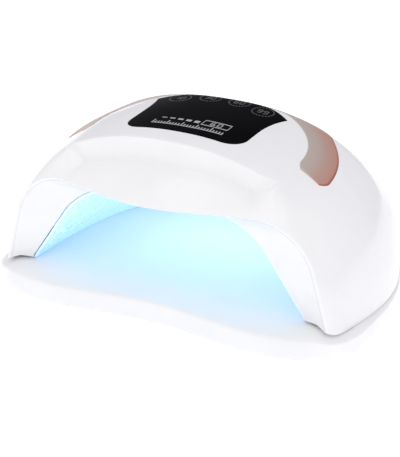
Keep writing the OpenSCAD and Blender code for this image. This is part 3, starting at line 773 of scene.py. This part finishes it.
def band_skin():
    """The copper band: a thin strip on the roof with rounded edges."""
    angles = [-5 + 0.5 * i for i in range(17)] + list(range(4, 177)) + [177 + 0.5 * i for i in range(17)]
    across = [0, 0.015, 0.04, 0.08, 0.16, 0.28, 0.4, 0.5, 0.6, 0.72, 0.84, 0.92, 0.96, 0.985, 1]
    pts, uv = [], []
    for a in angles:
        edge_a = min(1.0, min(a + 5, 185 - a) / 0.8)
        for s in across:
            e = min(s, 1 - s) * 18
            rim = min(1.0, e / 0.7, edge_a)
            lift = 0.12 + 0.24 * math.sqrt(max(0.0, 1 - (1 - rim) ** 2))
            pts.append(on_roof(*band_xy(a, s), lift))
            uv.append((s if edge_a > 0.6 else 0.99 * max(s, 0.35), a / 180))
    n = len(across)
    top = len(pts)
    faces = grid(len(angles), n, flip=True)
    for a in angles:
        for s in across:
            pts.append(on_roof(*band_xy(a, s), -0.4))
            uv.append((s, a / 180))
    faces += grid(len(angles), n, base=top)
    rim = ([i * n for i in range(len(angles))] + [(len(angles) - 1) * n + j for j in range(1, n)]
           + [i * n + n - 1 for i in range(len(angles) - 2, -1, -1)] + list(range(n - 2, 0, -1)))
    m = len(rim)
    faces += [[rim[i], top + rim[i], top + rim[(i + 1) % m], rim[(i + 1) % m]] for i in range(m)]
    return piece("band_skin", pts, faces, COPPER_PAINTED_LIGHT, "head", replaces=["accent_band"], slot="copper", uv=uv,
                 sharp=70)


band_skin()


def marks(name, shapes, mat):
    """Flat print on the panel: each shape is an outline in panel coordinates, filled."""
    pts, faces = [], []
    for sh in shapes:
        base = len(pts)
        pts += [on_roof(x, y, 0.31) for x, y in sh]
        faces.append(list(range(base, base + len(sh))))
    return piece(name, pts, faces, mat, "head")


def bar(x0, y0, x1, y1, w):
    """A stroke from one point to another, as a four-sided outline."""
    dx, dy = x1 - x0, y1 - y0
    k = w / 2 / math.hypot(dx, dy)
    nx, ny = -dy * k, dx * k
    return [(x0 - nx, y0 - ny), (x1 - nx, y1 - ny), (x1 + nx, y1 + ny), (x0 + nx, y0 + ny)]


def stroke(x0, y0, x1, y1, w):
    """A long stroke in short lengths, so that it follows the roof."""
    n = max(1, math.ceil(math.hypot(x1 - x0, y1 - y0) / 1.5))
    a, b = V(x0, y0), V(x1, y1)
    return [bar(*lerp(a, b, i / n), *lerp(a, b, (i + 1) / n), w) for i in range(n)]


SEGMENTS = {"a": (0, 2, 1, 2), "b": (1, 2, 1, 1), "c": (1, 1, 1, 0), "d": (0, 0, 1, 0), "e": (0, 0, 0, 1),
            "f": (0, 1, 0, 2), "g": (0, 1, 1, 1)}
DIGITS = {"0": "abcdef", "1": "bc", "3": "abcdg", "6": "acdefg", "9": "abcdfg"}


def digits(text, cx, cy, w, h, gap, thick):
    """Plain seven-segment numerals."""
    out = []
    x = cx - (len(text) * w + (len(text) - 1) * gap) / 2
    for ch in text:
        for s in DIGITS[ch]:
            x0, y0, x1, y1 = SEGMENTS[s]
            a = V(x + x0 * w, cy + (y0 - 1) * h / 2)
            b = V(x + x1 * w, cy + (y1 - 1) * h / 2)
            out.append(bar(*lerp(a, b, 0.08), *lerp(a, b, 0.92), thick))
        x += w + gap
    return out


def ring_marks(cx, cy, r, n, share, w):
    """A dashed ring of n dashes, each a share of its step long."""
    out = []
    for i in range(n):
        arc = [2 * math.pi * (i + share * (k / 3 - 0.5)) / n for k in range(4)]
        out.append([(cx + (r - w / 2) * math.cos(t), cy + (r - w / 2) * math.sin(t)) for t in arc]
                   + [(cx + (r + w / 2) * math.cos(t), cy + (r + w / 2) * math.sin(t)) for t in arc[::-1]])
    return out


def touch_marks():
    """Four dashed rings with a number of seconds in each."""
    out = []
    for (x, y), label in zip([(-28, -8.5), (-9.8, -3.2), (9.8, -3.2), (28, -8.5)], ["10", "30", "60", "99"]):
        out += ring_marks(x, y, 6.6, 22, 0.55, 0.9)
        out += digits(label, x, y, 2.3, 4.6, 1.5, 0.8)
    return out


def ruler(x0, y, step, count):
    """A graduated scale with a longer line at every fifth place."""
    out = []
    for i in range(count):
        out += stroke(x0 + step * i, y, x0 + step * i, y + (4.6 if i % 5 == 0 else 2.4), 0.8)
    return out + stroke(x0 - 0.6, y - 0.2, x0 + step * (count - 1) + 0.6, y - 0.2, 0.8)


def window(cx, cy, w, h):
    """A framed number."""
    out = []
    for s in (-1, 1):
        out += stroke(cx - w / 2, cy + s * h / 2, cx + w / 2, cy + s * h / 2, 0.9)
        out += stroke(cx + s * w / 2, cy - h / 2, cx + s * w / 2, cy + h / 2, 0.5)
    return out + digits("60", cx, cy, 2.4, 3.8, 2.0, 0.75)


def levels(x0, y, step, count):
    """A row of short bars, each thicker than the one before."""
    out = []
    for i in range(count):
        out += stroke(x0 + step * i, y, x0 + step * i + 3.4, y, 1.0 + 0.55 * i)
    return out


marks("touch_marks", touch_marks(), PRINT_DIM)
marks("panel_marks", ruler(-22, -52.0, 1.9, 25) + window(15.5, -42.5, 17.0, 6.6) + levels(-20, -43.6, 5.4, 5),
      PRINT)


# ---------------------------------------------------------------- the reflector
def mouth_bead(phi):
    """The reflector's rolled edge and the groove behind it, as (y, depth inside the outside)."""
    edge = [(-78.6, 0.5), (-78.5, 1.0), (-78.1, 1.5), (-77.4, 1.7), (-74.2, 1.7), (-73.9, 1.5), (-73.9, 1.0),
            (-73.1, 0.95), (-73.0, 1.5), (-72.6, 1.65)]
    return [liner_pt(phi, y, t) for y, t in edge]


def liner_skin():
    """The reflector: a tunnel closed at the back, with a rolled edge at the mouth."""
    depth = LINER_REAR - LINER_WIDE
    ys = [LINER_WIDE + depth * math.sin(math.pi / 2 * i / 40) for i in range(39, -1, -1)]
    front = [-64.0, -68.0, -71.0, -73.0, -73.6, -74.5, -76.0, -77.5, -78.2, -78.5]
    inner_end = LINER_REAR - LINER_WALL - 0.4
    columns = []
    for i in range(241):
        phi = 180 * i / 240
        out = [liner_pt(phi, y, 0) for y in ys + front]
        inner = mouth_bead(phi)
        inner += [liner_pt(phi, min(y, inner_end), LINER_WALL) for y in [-68.0, -64.0] + ys[::-1]]
        while len(out) < len(inner):
            out.insert(1, (out[0] + out[1]) / 2)
        columns.append(out + inner)
    return swept("reflector_skin", V(0, LINER_REAR, HEAD_Z), V(0, LINER_REAR - LINER_WALL, HEAD_Z), columns,
                 REFLECTOR_PAINTED_GLOW, "head", replaces=["liner"], slot="reflector", sharp=35)


liner_skin()


# ---------------------------------------------------------------- finishes of pieces that keep their CAD form
def finish_nodes(names, mat):
    for n in names:
        me = nodes[n].data
        me.materials.clear()
        me.materials.append(mat)


finish_nodes(["tray_base", "head_floor", "floor_posts", "led_posts", "board_posts", "tray_pads"], MATTE)
finish_nodes(["tray_feet", "panel_frame"], RUBBER)
finish_nodes(["tray_magnets", "head_magnets", "tray_screws", "head_screws", "board_screws"], STEEL)
finish_nodes(["touch_springs", "jack_nut"], STEEL)
finish_nodes(["board_top", "board_right", "board_left", "board_rear"], PCB_WHITE)
finish_nodes(["control_board"], PCB)
finish_nodes(["display", "board_parts", "sensor", "power_jack"], BLACK)
finish_nodes(["beads_top", "beads_right", "beads_left", "beads_rear"], BEAD)
finish_nodes(["ribbon"], RIBBON)


# ---------------------------------------------------------------- stage, light and camera
def floor_material():
    m, t, b = material("stage_floor")
    base = tint(t, noise(t, 3, 2), [(0.0, (0.86, 0.86, 0.865)), (1.0, (0.88, 0.88, 0.885))])
    t.links.new(base, b.inputs["Base Color"])
    b.inputs["Roughness"].default_value = 0.9
    b.inputs["Specular IOR Level"].default_value = 0.1
    b.inputs["Emission Color"].default_value = (1, 1, 1, 1)
    b.inputs["Emission Strength"].default_value = 0.42
    return m


me = bpy.data.meshes.new("stage_floor")
me.from_pydata([(-6, -6, 0), (6, -6, 0), (6, 6, 0), (-6, 6, 0)], [], [(0, 1, 2, 3)])
floor = placed("stage_floor", me)
me.materials.append(floor_material())


def studio():
    """A pale surround that darkens behind the lamp."""
    world = bpy.data.worlds.new("studio")
    bpy.context.scene.world = world
    world.use_nodes = True
    t = world.node_tree
    bg = t.nodes["Background"]
    at = axes(t, t.nodes.new("ShaderNodeTexCoord").outputs["Generated"])
    sky = tint(t, spread(t, at["Y"], 0.0, 1.0, -0.35, 0.75),
               [(0.0, (0.96, 0.96, 0.97)), (0.55, (0.84, 0.83, 0.86)), (1.0, (0.58, 0.57, 0.62))])
    t.links.new(sky, bg.inputs["Color"])
    bg.inputs["Strength"].default_value = 0.97


studio()


def softbox(name, at, to, size, power, colour=(1, 1, 1)):
    """A rectangular light; places and sizes are in metres."""
    lamp = bpy.data.lights.new(name, "AREA")
    lamp.shape, lamp.size, lamp.size_y = "RECTANGLE", size[0], size[1]
    lamp.energy, lamp.color = power, colour
    o = placed(name, lamp)
    o.location = at
    o.rotation_euler = (Vector(to) - Vector(at)).to_track_quat("-Z", "Y").to_euler()
    return o


softbox("key", (-0.9, -1.1, 1.3), (0, 0, 0.05), (1.2, 1.2), 0.5)
softbox("fill", (1.2, -0.9, 0.9), (0, 0, 0.05), (1.0, 1.0), 0.15)
softbox("top", (0.1, -0.25, 1.4), (0, 0, 0.05), (1.3, 1.3), 2.6)


def hidden_lamp(o):
    """A light inside the cavity: it travels with the head, and only its effect shows."""
    o.visible_camera = False
    o.visible_glossy = False
    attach(o, "head")


hidden_lamp(softbox("lamps_front", (0, -0.048, 0.064), (0, -0.048, 0), (0.12, 0.035), 0.008, (0.0, 0.6, 1.0)))
hidden_lamp(softbox("lamps_rear", (0, 0.006, 0.06), (0, 0.006, 0), (0.1, 0.06), 0.0172, (0.79, 1.0, 1.0)))
for side in (-1, 1):
    lamp = bpy.data.lights.new("foot_violet", "POINT")
    lamp.energy, lamp.color, lamp.shadow_soft_size = 0.0005, (0.16, 0.18, 1.0), 0.004
    foot = placed("foot_violet", lamp)
    foot.location = (side * 0.081, -0.07, 0.0225)
    hidden_lamp(foot)

cam = bpy.data.cameras.new("camera")
cam_obj = placed("camera", cam)
azimuth, elevation, distance = math.radians(28.56), math.radians(21.81), 0.9
target = Vector((0, -0.0108, 0.047))
level = math.cos(elevation)
away = Vector((math.sin(azimuth) * level, -math.cos(azimuth) * level, math.sin(elevation)))
cam_obj.location = target + away * distance
cam_obj.rotation_euler = (-away).to_track_quat("-Z", "Y").to_euler()
cam.sensor_width, cam.lens = 36, 116.08
cam.shift_x, cam.shift_y = -0.0424, -0.0592
cam.clip_start, cam.clip_end = 0.01, 50
bpy.context.scene.camera = cam_obj
bpy.context.scene.view_settings.view_transform = "Standard"
